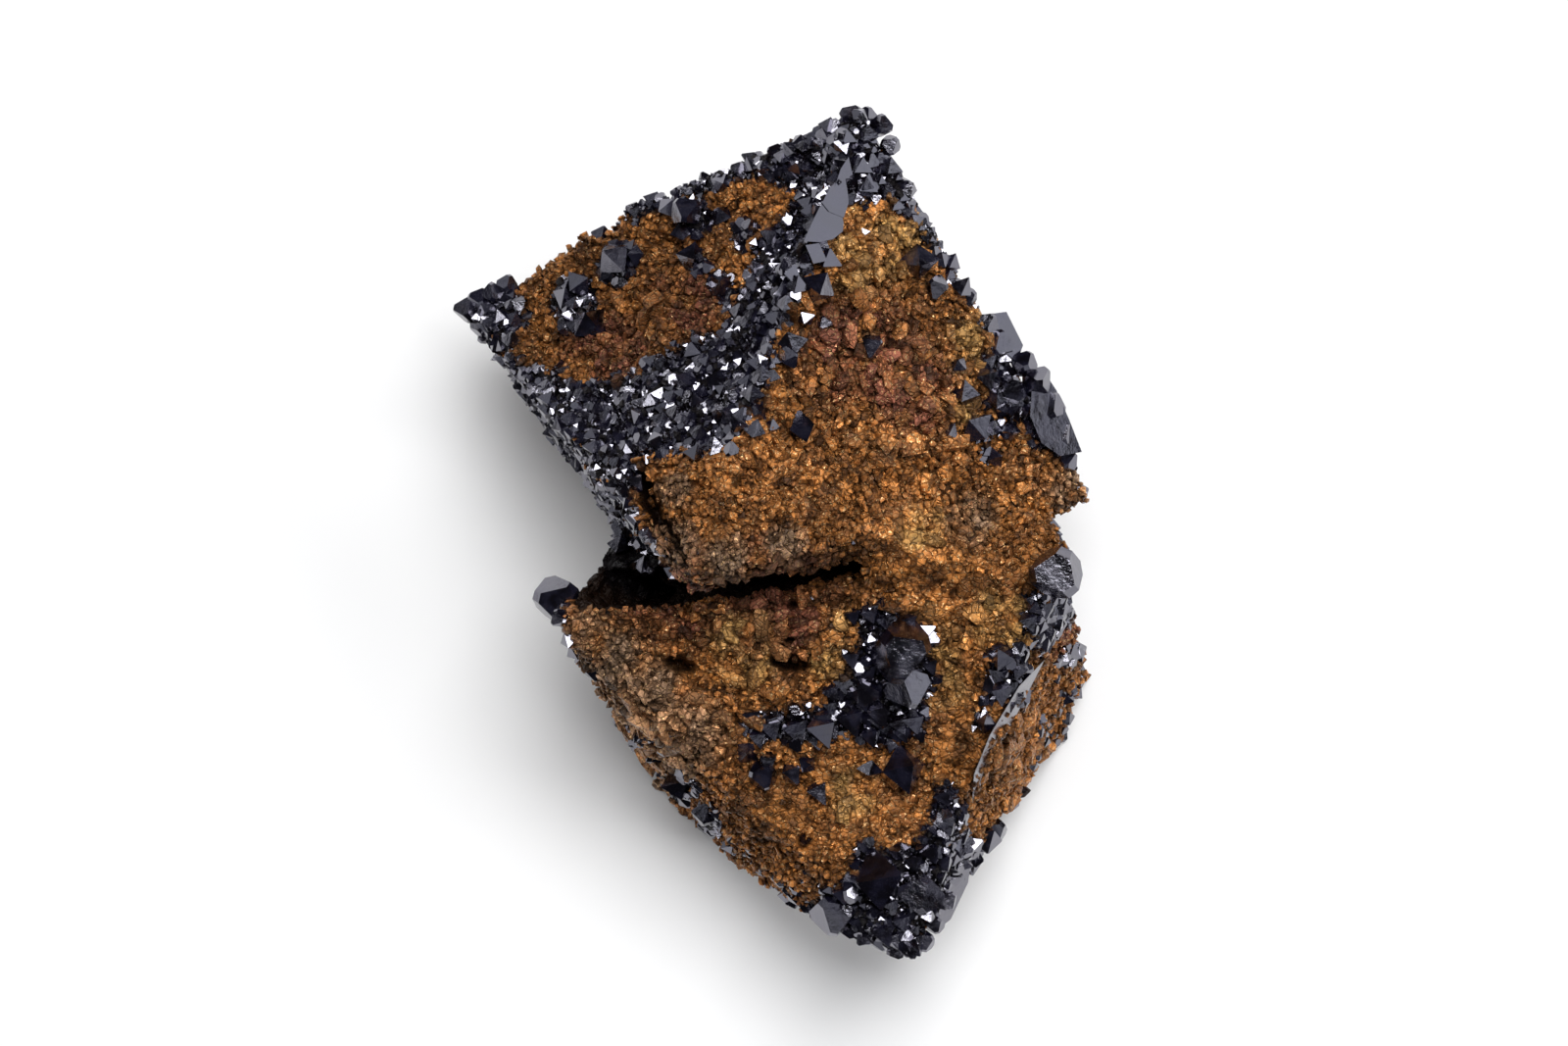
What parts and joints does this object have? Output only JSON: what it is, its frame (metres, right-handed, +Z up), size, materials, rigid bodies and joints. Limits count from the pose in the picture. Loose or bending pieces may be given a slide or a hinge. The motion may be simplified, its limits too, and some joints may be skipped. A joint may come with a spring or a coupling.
{
  "type": "copper pseudomorph specimen",
  "caption": "Mineral specimen lying on its broken back: octahedra of granular brown copper grown into each other, with a crust of small dark octahedral cuprite crystals along the edges.",
  "frame": {"origin": "on the flat break that the specimen rests on, straight below the middle of the view from above", "axes": "+Z up from the break to the exposed side; +Y from the lower crystal to the upper one; +X to the right as seen from above with +Y away"},
  "size_m": [0.0408, 0.0519, 0.0308],
  "materials": {
    "copper": "granular copper, tarnished brown, with golden and maroon patches and small metallic glints",
    "cuprite": "near-black blue-grey crystals with a bright, almost metallic lustre"
  },
  "bodies": {
    "root": {"copper_pseudomorph": "copper"}
  },
  "joints": []
}
